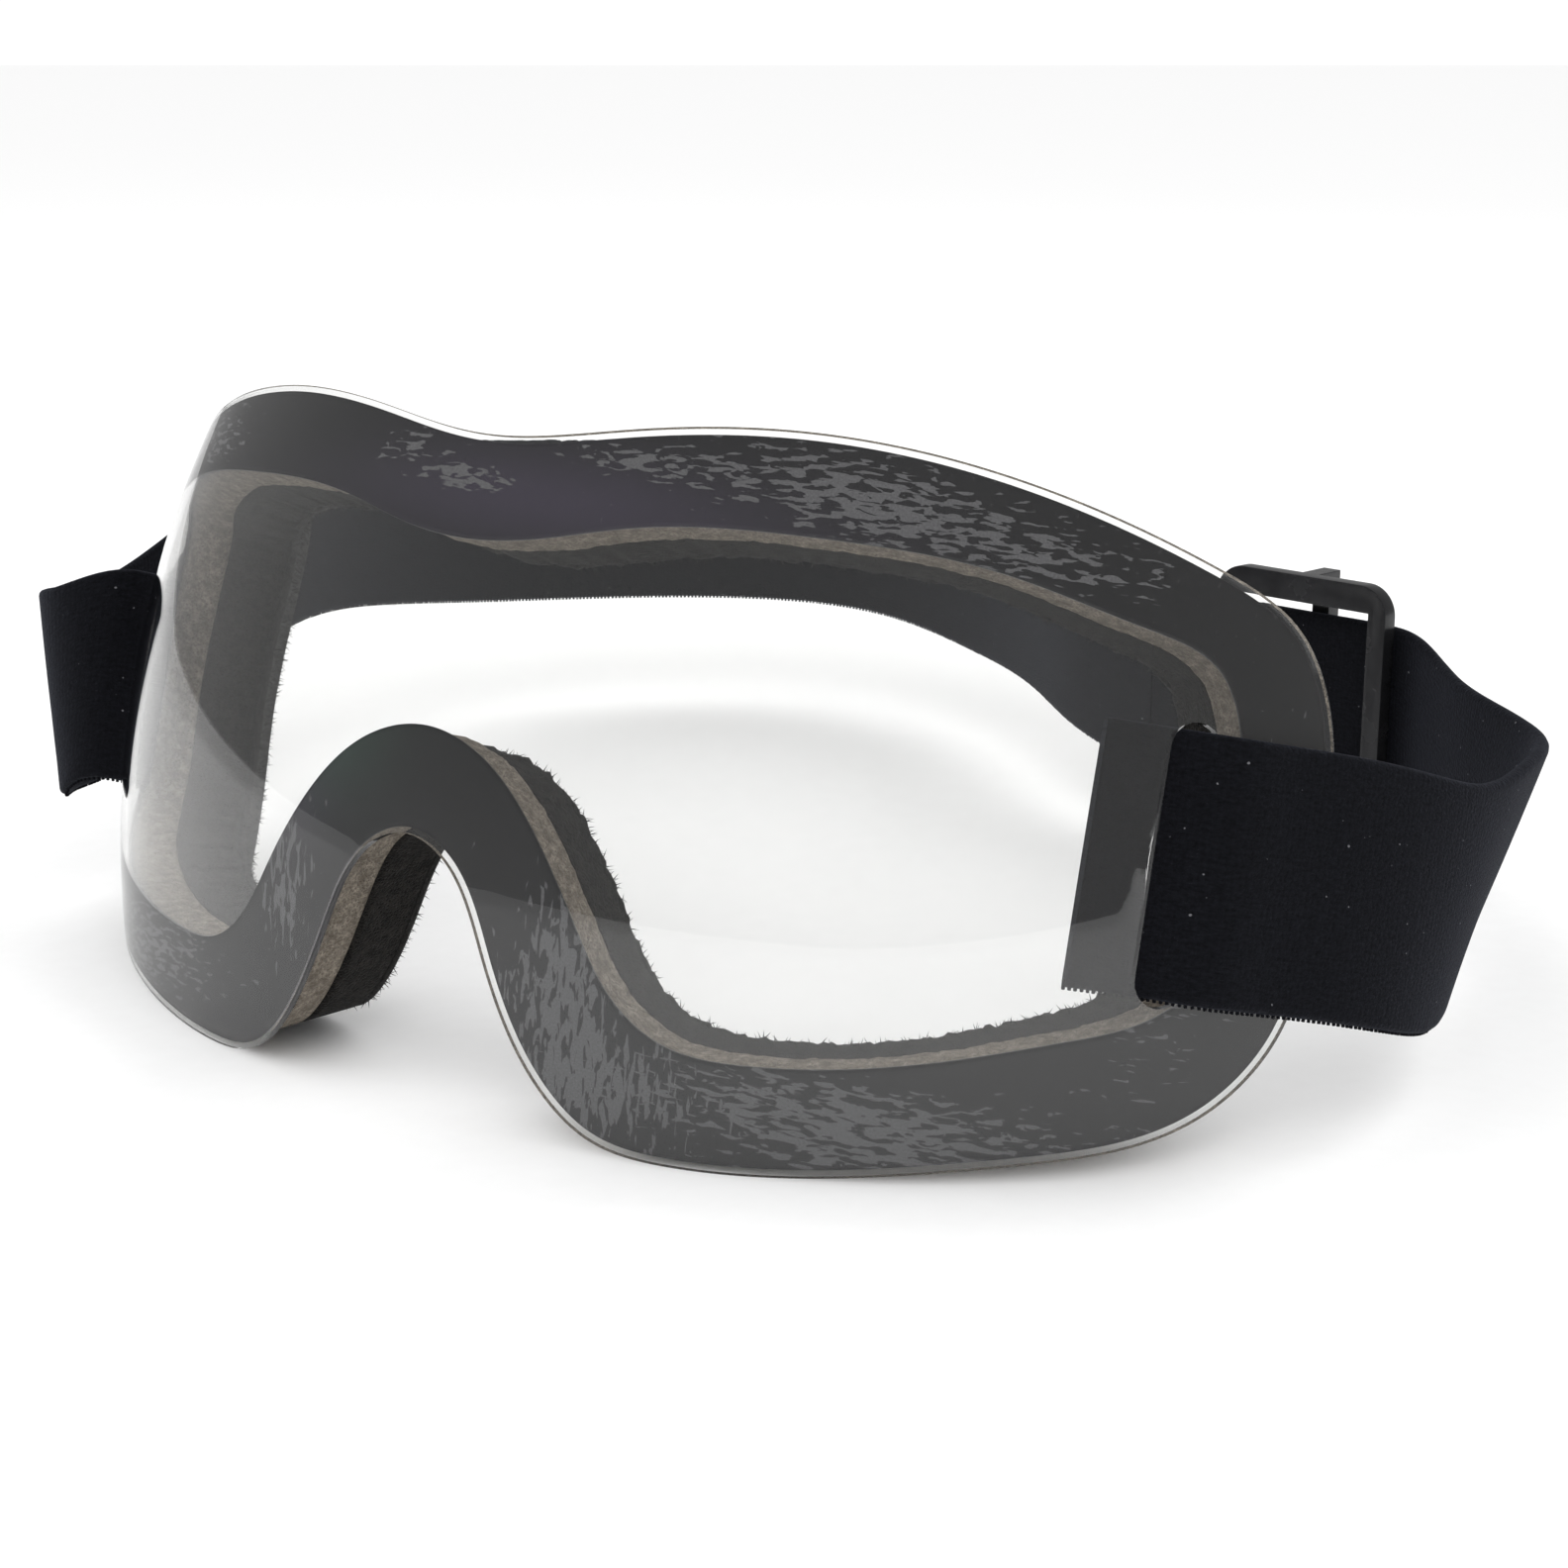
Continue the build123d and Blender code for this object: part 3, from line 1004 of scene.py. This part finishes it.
@dataclass(frozen=True)
class FibreTree:
    """Short loose fibres standing on a surface, as dense as its fuzz mask allows."""

    length: float = 0.0009
    radius: float = 0.00007
    density: float = 260000.0
    lean: float = 0.8
    seed: int = 5

    def build(self) -> bpy.types.NodeTree:
        """Write the geometry tree."""
        tree = nodes_tree("fibres", {
            "Length": ("NodeSocketFloat", self.length),
            "Radius": ("NodeSocketFloat", self.radius),
            "Density": ("NodeSocketFloat", self.density),
            "Seed": ("NodeSocketInt", self.seed),
            "Finish": ("NodeSocketMaterial", None),
        })
        nodes, links = tree.nodes, tree.links
        given, result = nodes["Group Input"], nodes["Group Output"]
        scatter = nodes.new("GeometryNodeDistributePointsOnFaces")
        keep = nodes.new("GeometryNodeInputNamedAttribute")
        keep.data_type = "FLOAT"
        keep.inputs["Name"].default_value = "fuzz"
        thin = nodes.new("ShaderNodeMath")
        thin.operation = "MULTIPLY"
        fibre = nodes.new("GeometryNodeMeshCone")
        fibre.inputs["Vertices"].default_value = 3
        fibre.inputs["Radius Top"].default_value = 0.0
        put = nodes.new("GeometryNodeInstanceOnPoints")
        tilt = nodes.new("FunctionNodeRandomValue")
        tilt.data_type = "FLOAT_VECTOR"
        tilt.inputs["Min"].default_value = (-self.lean, -self.lean, 0.0)
        tilt.inputs["Max"].default_value = (self.lean, self.lean, 6.28)
        turn = nodes.new("GeometryNodeRotateInstances")
        size = nodes.new("FunctionNodeRandomValue")
        size.data_type = "FLOAT"
        size.inputs[2].default_value = 0.45
        size.inputs[3].default_value = 1.25
        real = nodes.new("GeometryNodeRealizeInstances")
        paint = nodes.new("GeometryNodeSetMaterial")
        links.new(given.outputs["Geometry"], scatter.inputs["Mesh"])
        links.new(keep.outputs["Attribute"], thin.inputs[0])
        links.new(given.outputs["Density"], thin.inputs[1])
        links.new(thin.outputs[0], scatter.inputs["Density"])
        links.new(given.outputs["Seed"], scatter.inputs["Seed"])
        links.new(given.outputs["Length"], fibre.inputs["Depth"])
        links.new(given.outputs["Radius"], fibre.inputs["Radius Bottom"])
        links.new(scatter.outputs["Points"], put.inputs["Points"])
        links.new(scatter.outputs["Rotation"], put.inputs["Rotation"])
        links.new(fibre.outputs["Mesh"], put.inputs["Instance"])
        links.new(size.outputs[1], put.inputs["Scale"])
        links.new(put.outputs["Instances"], turn.inputs["Instances"])
        links.new(tilt.outputs[0], turn.inputs["Rotation"])
        links.new(turn.outputs["Instances"], real.inputs["Geometry"])
        links.new(real.outputs["Geometry"], paint.inputs["Geometry"])
        links.new(given.outputs["Finish"], paint.inputs["Material"])
        links.new(paint.outputs["Geometry"], result.inputs["Geometry"])
        return tree


@dataclass(frozen=True)
class StitchTree:
    """Short upright threads set at even steps along a line."""

    spacing: float = 0.0007
    length: float = 0.0011
    radius: float = 0.00022
    slant: float = 0.16
    seed: int = 9

    def build(self) -> bpy.types.NodeTree:
        """Write the geometry tree."""
        tree = nodes_tree("edge_stitches", {
            "Spacing": ("NodeSocketFloat", self.spacing),
            "Length": ("NodeSocketFloat", self.length),
            "Radius": ("NodeSocketFloat", self.radius),
            "Seed": ("NodeSocketInt", self.seed),
            "Finish": ("NodeSocketMaterial", None),
        })
        nodes, links = tree.nodes, tree.links
        given, result = nodes["Group Input"], nodes["Group Output"]
        curve = nodes.new("GeometryNodeMeshToCurve")
        steps = nodes.new("GeometryNodeResampleCurve")
        steps.mode = "LENGTH"
        thread = nodes.new("GeometryNodeMeshCylinder")
        thread.inputs["Vertices"].default_value = 6
        put = nodes.new("GeometryNodeInstanceOnPoints")
        vary = nodes.new("FunctionNodeRandomValue")
        vary.data_type = "FLOAT_VECTOR"
        vary.inputs["Min"].default_value = (-self.slant, -self.slant, 0.0)
        vary.inputs["Max"].default_value = (self.slant, self.slant, 6.28)
        real = nodes.new("GeometryNodeRealizeInstances")
        paint = nodes.new("GeometryNodeSetMaterial")
        links.new(given.outputs["Geometry"], curve.inputs["Mesh"])
        links.new(curve.outputs["Curve"], steps.inputs["Curve"])
        links.new(given.outputs["Spacing"], steps.inputs["Length"])
        links.new(given.outputs["Length"], thread.inputs["Depth"])
        links.new(given.outputs["Radius"], thread.inputs["Radius"])
        links.new(steps.outputs["Curve"], put.inputs["Points"])
        links.new(thread.outputs["Mesh"], put.inputs["Instance"])
        links.new(given.outputs["Seed"], vary.inputs["Seed"])
        links.new(vary.outputs[0], put.inputs["Rotation"])
        links.new(put.outputs["Instances"], real.inputs["Geometry"])
        links.new(real.outputs["Geometry"], paint.inputs["Geometry"])
        links.new(given.outputs["Finish"], paint.inputs["Material"])
        links.new(paint.outputs["Geometry"], result.inputs["Geometry"])
        return tree


def grow(source: bpy.types.Object, tree: bpy.types.NodeTree, name: str,
         finish: bpy.types.Material) -> bpy.types.Object:
    """Run a geometry tree over a piece and keep the result as a plain mesh.

    Args:
        source: The piece that carries the pattern.
        tree: The geometry tree.
        name: Name of the new piece.
        finish: Material handed to the tree.

    Returns:
        The new piece, at the origin.
    """
    carrier = bpy.data.objects.new(name + "_carrier", source.data.copy())
    bpy.context.scene.collection.objects.link(carrier)
    modifier = carrier.modifiers.new("pattern", "NODES")
    modifier.node_group = tree
    for item in tree.interface.items_tree:
        if item.item_type == "SOCKET" and item.in_out == "INPUT" and item.name == "Finish":
            modifier[item.identifier] = finish
    bpy.context.view_layer.update()
    ready = carrier.evaluated_get(bpy.context.evaluated_depsgraph_get())
    mesh = bpy.data.meshes.new_from_object(ready)
    mesh.name = name
    piece = bpy.data.objects.new(name, mesh)
    bpy.context.scene.collection.objects.link(piece)
    bpy.data.objects.remove(carrier)
    if not mesh.materials:
        mesh.materials.append(finish)
    return piece


@dataclass
class Strap:
    """The elastic strap: two sewn ends, two halves and their edge stitches."""

    form: LensForm
    slot_middle: float = 1.8
    anchor_reach: float = 81.0
    anchor_depth: float = 3.3
    slot_reach: float = 91.5
    front_depth: float = -1.4
    swing_start: float = 95.9
    straight_start: tuple[float, float, float] = (60.4, 142.2, 25.5)
    straight_heading: float = 168.0
    left_start: float = 41.2
    join_heading: tuple[float, float] = (0.6, 0.8)
    join_length: float = 4.0
    hairpin_roll: float = 17.0
    left_roll: float = -15.0

    def on_lens(self, reach: float, depth: float, side: Side) -> tuple:
        """Row-frame point in the middle of the strap's width near the lens."""
        spot = self.form.place(np.array([reach]), np.array([self.slot_middle]), depth)[0]
        return side.value * spot[0], spot[1], spot[2]

    def on_straight(self, step: float) -> tuple:
        """Point of the straight run that carries the slider."""
        turn = math.radians(self.straight_heading)
        run = np.array([math.cos(turn), math.sin(turn), 0.0])
        return tuple(np.array(self.straight_start) + run * step)

    def anchor_route(self, side: Side) -> np.ndarray:
        """The sewn end's route: flat behind the lens, then out into the slot."""
        at = ((self.anchor_reach, self.anchor_depth), (self.anchor_reach + 4, self.anchor_depth),
              (self.slot_reach - 2.6, self.anchor_depth - 0.6), (self.slot_reach, 0.95))
        return np.array([self.on_lens(reach, depth, side) for reach, depth in at])

    def right_route(self) -> np.ndarray:
        """The right half's route, from the slot to the end of its straight."""
        r, d = Side.RIGHT, self.front_depth
        bend = [
            self.on_lens(self.swing_start, d, r), self.on_lens(102, d, r),
            self.on_lens(109.5, d - 0.3, r),
            (98.6, 56.5, 27.5), (100.4, 68, 24), (98, 86, 23.5), (92.5, 105, 22.5),
            (82, 121.5, 22), (71.5, 134.9, 23.5), (64.0, 141.2, 25.3), self.straight_start,
        ]
        return np.array(bend + [self.on_straight(step) for step in (10, 20, 30, 41)])

    def left_route(self) -> np.ndarray:
        """The left half's route, around the back to the left slot."""
        return np.array([
            self.on_straight(self.left_start),
            (4, 158, 28), (-14, 173, 30.5), (-36, 189, 31.5), (-62, 197, 34),
            (-91, 189, 35), (-110, 172, 35.5), (-120, 149, 37.5), (-121, 124, 41),
            (-117, 101, 42.5), (-111, 78, 38), (-106.5, 58, 32), (-104.3, 45, 29.5),
            (-101.2, 35, 30.2), (-94.5, 29.2, 32),
            self.on_lens(self.slot_reach + 0.4, -3.6, Side.LEFT),
        ])

    def build(self) -> list[bpy.types.Object]:
        """Build the halves, each running on through its slot to the sewn end."""
        finish = StrapFinish().build()
        pieces = []
        ends = [
            (Side.RIGHT, self.right_route(), "strap_right", "strap_anchor_right"),
            (Side.LEFT, self.left_route()[::-1], "strap_left", "strap_anchor_left"),
        ]
        for side, route, node, anchor in ends:
            joined = np.concatenate([self.anchor_route(side), route])
            if side is Side.RIGHT:
                band = Ribbon(node + "_webbing", joined, node, node, roll=self.hairpin_roll)
            else:
                band = Ribbon(node + "_webbing", joined, node, node, roll=self.left_roll,
                              roll_span=(0.03, 0.1, 0.3))
            piece = band.build(finish)
            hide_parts(node, anchor)
            self.dress(band)
            self.join(piece, side)
            pieces.append(piece)
            pieces.append(self.stitches(band, side, finish))
            LOG.info("built %s", piece.name)
        return pieces

    def dress(self, band: Ribbon) -> None:
        middle, _, _ = band.frames()

    def stitches(self, band: Ribbon, side: Side, finish: bpy.types.Material) -> bpy.types.Object:
        """Overlock threads along the lower edge of a band."""
        middle, across, rise = band.frames()
        line = middle - rise * (band.width / 2 - 0.25)
        mesh = bpy.data.meshes.new(band.name + "_edge")
        points = (line * MM).tolist()
        mesh.from_pydata(points, [(i, i + 1) for i in range(len(points) - 1)], [])
        holder = bpy.data.objects.new(band.name + "_edge", mesh)
        bpy.context.scene.collection.objects.link(holder)
        piece = grow(holder, StitchTree().build(), band.node + "_stitches", finish)
        bpy.data.objects.remove(holder)
        self.join(piece, side)
        return piece

    def join(self, piece: bpy.types.Object, side: Side) -> None:
        """Bake a piece's placement into its mesh, leaving it at the origin.

        Args:
            piece: The piece to bake.
            side: The temple that it passes through.
        """
        start = np.array(self.anchor_route(side)[-1])
        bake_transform(piece)


@dataclass
class Slider:
    """The moulded adjuster frame on the strap, with its edges rounded over."""

    node: str = "slider_frame"
    rounding: float = 0.0008
    merge: float = 0.00002

    def build(self, frame: dict) -> bpy.types.Object:
        """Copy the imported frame, merge it and round its edges.

        Args:
            frame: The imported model.

        Returns:
            The rounded slider.
        """
        work = bmesh.new()
        work.from_mesh(frame["nodes"][self.node].data)
        bmesh.ops.remove_doubles(work, verts=work.verts, dist=self.merge)
        bmesh.ops.dissolve_limit(work, angle_limit=math.radians(1.0), verts=work.verts, edges=work.edges)
        mesh = bpy.data.meshes.new("slider_body")
        work.to_mesh(mesh)
        work.free()
        piece = bpy.data.objects.new("slider_body", mesh)
        bpy.context.scene.collection.objects.link(piece)
        bevel = piece.modifiers.new("rounding", "BEVEL")
        bevel.width, bevel.segments = self.rounding, 4
        bevel.limit_method, bevel.angle_limit = "ANGLE", math.radians(30)
        bevel.harden_normals = False
        ready = piece.evaluated_get(bpy.context.evaluated_depsgraph_get())
        piece.data = bpy.data.meshes.new_from_object(ready)
        piece.modifiers.clear()
        piece.data.materials.clear()
        piece.data.materials.append(SliderFinish().build())
        piece.data.polygons.foreach_set("use_smooth", [True] * len(piece.data.polygons))
        piece.data.set_sharp_from_angle(angle=math.radians(40))
        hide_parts(self.node)
        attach(piece, "slider")
        return piece


@dataclass
class Studio:
    """Pale floor, soft lights and the camera."""

    camera_place: tuple[float, float, float] = (0.2059, -0.2267, 0.1215)
    camera_aim: tuple[float, float, float] = (-0.54297, 0.79768, -0.26248)
    lens: float = 62.13
    sensor: float = 36.0
    floor_size: float = 60.0
    room_light: float = 1.06
    mirrored_light: float = 0.42

    def build(self) -> None:
        """Put up the floor, the world, the lights and the camera."""
        mesh = bpy.data.meshes.new("studio_floor")
        half = self.floor_size / 2
        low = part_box("lens")[0][2]
        corners = [(-half, -half, low), (half, -half, low), (half, half, low), (-half, half, low)]
        mesh.from_pydata(corners, [], [(0, 1, 2, 3)])
        floor = bpy.data.objects.new("studio_floor", mesh)
        bpy.context.scene.collection.objects.link(floor)
        r = Recipe("pale_paper", (0.9, 0.9, 0.9))
        tooth = r.grain(r.place((1, 1, 1)), 300.0, (0.3, 0.7))
        r.link(r.mix(tooth, (0.95, 0.95, 0.95), (0.97, 0.97, 0.97)), "Base Color")
        r.set(Roughness=0.9)
        mesh.materials.append(r.material)
        world = bpy.data.worlds.new("soft_room")
        world.use_nodes = True
        tree = world.node_tree
        back = tree.nodes["Background"]
        back.inputs["Color"].default_value = (1.0, 1.0, 1.0, 1.0)
        path = tree.nodes.new("ShaderNodeLightPath")
        strength = tree.nodes.new("ShaderNodeMapRange")
        strength.inputs["To Min"].default_value = self.room_light
        strength.inputs["To Max"].default_value = self.mirrored_light
        either = tree.nodes.new("ShaderNodeMath")
        either.operation = "MAXIMUM"
        tree.links.new(path.outputs["Is Glossy Ray"], either.inputs[0])
        tree.links.new(path.outputs["Is Transmission Ray"], either.inputs[1])
        tree.links.new(either.outputs[0], strength.inputs["Value"])
        tree.links.new(strength.outputs["Result"], back.inputs["Strength"])
        bpy.context.scene.world = world
        self.light("key", (0.5, -0.9, 1.1), 0.9, 5.0)
        self.light("fill", (-0.9, -0.5, 0.7), 0.8, 2.5)
        self.light("rear", (0.2, 0.9, 0.9), 0.8, 2.5)
        data = bpy.data.cameras.new("view")
        data.lens, data.sensor_width = self.lens, self.sensor
        data.clip_start, data.clip_end = 0.01, 20.0
        camera = bpy.data.objects.new("view", data)
        camera.location = self.camera_place
        camera.rotation_euler = Vector(self.camera_aim).to_track_quat("-Z", "Y").to_euler()
        bpy.context.scene.collection.objects.link(camera)
        bpy.context.scene.camera = camera
        bpy.context.scene.view_settings.view_transform = "Standard"

    def light(self, name: str, place: tuple, size: float, power: float) -> None:
        """Hang one soft lamp that looks at the goggles."""
        data = bpy.data.lights.new(name, "AREA")
        data.size, data.energy = size, power
        lamp = bpy.data.objects.new(name, data)
        lamp.visible_glossy = lamp.visible_transmission = lamp.visible_camera = False
        lamp.location = place
        lamp.rotation_euler = (Vector((0, 0.05, 0.04)) - Vector(place)).to_track_quat("-Z", "Y").to_euler()
        bpy.context.scene.collection.objects.link(lamp)


@dataclass
class FaceSeal:
    """The adhesive film, the two foam layers and the fleece lining."""

    form: LensForm
    dry_patches: tuple[Patch, ...] = (
        Patch(50, 37, 21, 6.5, 1.0, -6), Patch(76, 33, 14, 5, 0.55), Patch(60, -33, 30, 7, 1.05),
        Patch(-66, 36, 16, 6, 0.75), Patch(-2, 33.5, 7, 1.6, 1.3), Patch(-14, 37, 9, 3.5, 0.7),
        Patch(-58, -32, 26, 7, 0.9), Patch(92, -16, 10, 12, 0.5), Patch(20, 38, 12, 2.5, 0.75),
        Patch(-88, 28, 10, 6, 0.6),
    )
    slant_patches: tuple[Patch, ...] = (
        Patch(23, -23, 8, 17, 0.95), Patch(-21, -17, 6, 13, 0.9), Patch(34, -34, 12, 7, 0.75),
        Patch(102, 8, 5, 14, 0.5),
    )
    green_patches: tuple[Patch, ...] = (Patch(-16, 2, 10, 8, 0.5),)
    # where the violet painted reflection lies on the film
    violet_reflection_patches: tuple[Patch, ...] = (Patch(10, 32, 34, 6, 0.55), Patch(-22, -6, 8, 8, 0.4))

    def build(self) -> list[bpy.types.Object]:
        """Build the four rings and the fleece fibres."""
        film = SealLayer("film_ring", "adhesive_film", "adhesive", 1.0, 1.35, 0.0, 0.0, 0.05,
                         outer_inset=0.7, wall_steps=2, face_steps=24)
        front = SealLayer("front_foam_ring", "foam_front", "taupe_foam", 1.35, 7.85, -0.5, -0.7, 0.7,
                          ragged=0.12, wall_steps=9, seed=4)
        rear = SealLayer("rear_foam_ring", "foam_rear", "black_foam", 7.85, 16.35, -1.4, -1.8, 0.7,
                         ragged=0.4, wall_steps=11, seed=6)
        lining = SealLayer("face_lining_ring", "face_lining", "fleece", 16.35, 17.35, -2.0, -2.2, 0.45,
                           ragged=0.6, wall_steps=4, face_steps=12, seed=8)
        taupe = FoamFinish("taupe_open_cell", (0.36, 0.318, 0.262), (0.14, 0.118, 0.094)).build()
        black = FoamFinish("black_open_cell", (0.030, 0.027, 0.024), (0.006, 0.0055, 0.005)).build()
        fleece = FleeceFinish().build()
        pieces = [
            film.build(self.form, FilmFinish().build()),
            front.build(self.form, taupe),
            rear.build(self.form, black),
            lining.build(self.form, fleece),
        ]
        self.mark_film(pieces[0])
        pieces.append(self.fuzz(pieces[3], fleece))
        return pieces

    def mark_film(self, film: bpy.types.Object) -> None:
        """Store on its vertices where the film is dry or tinted, and where the violet painted reflection
        lies.
        """
        corner = np.empty(len(film.data.loops), int)
        film.data.loops.foreach_get("vertex_index", corner)
        flat = np.empty(len(corner) * 2)
        film.data.uv_layers[0].data.foreach_get("uv", flat)
        spots = np.zeros((len(film.data.vertices), 2))
        spots[corner] = flat.reshape(-1, 2) / MM
        groups = {"dry": self.dry_patches, "dry_slant": self.slant_patches,
                  "green": self.green_patches, "violet_reflection": self.violet_reflection_patches}
        for name, patches in groups.items():
            total = sum(patch.weight(spots) for patch in patches)
            write_mask(film, name, np.clip(total, 0, 1))

    def fuzz(self, lining: bpy.types.Object, finish: bpy.types.Material) -> bpy.types.Object:
        """Loose fibres over the whole fleece lining."""
        write_mask(lining, "fuzz", np.ones(len(lining.data.vertices)))
        piece = grow(lining, FibreTree(density=2.4e6).build(), "fleece_fibres", finish)
        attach(piece, "goggles")
        return piece


def main() -> None:
    """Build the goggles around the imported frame."""
    logging.basicConfig(level=logging.INFO, format="%(name)s: %(message)s")
    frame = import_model()
    form = LensForm()
    Studio().build()
    made = [Lens(form).build()]
    made += FaceSeal(form).build()
    made += Strap(form).build()
    made.append(Slider().build(frame))
    for piece in made:
        heights = np.empty(len(piece.data.vertices) * 3)
        piece.data.vertices.foreach_get("co", heights)
        low, high = heights.reshape(-1, 3)[:, 2].min(), heights.reshape(-1, 3)[:, 2].max()
        faces = len(piece.data.polygons)
        LOG.info("%s: %d faces, from %.4f m to %.4f m high", piece.name, faces, low, high)


if __name__ == "__main__":
    main()
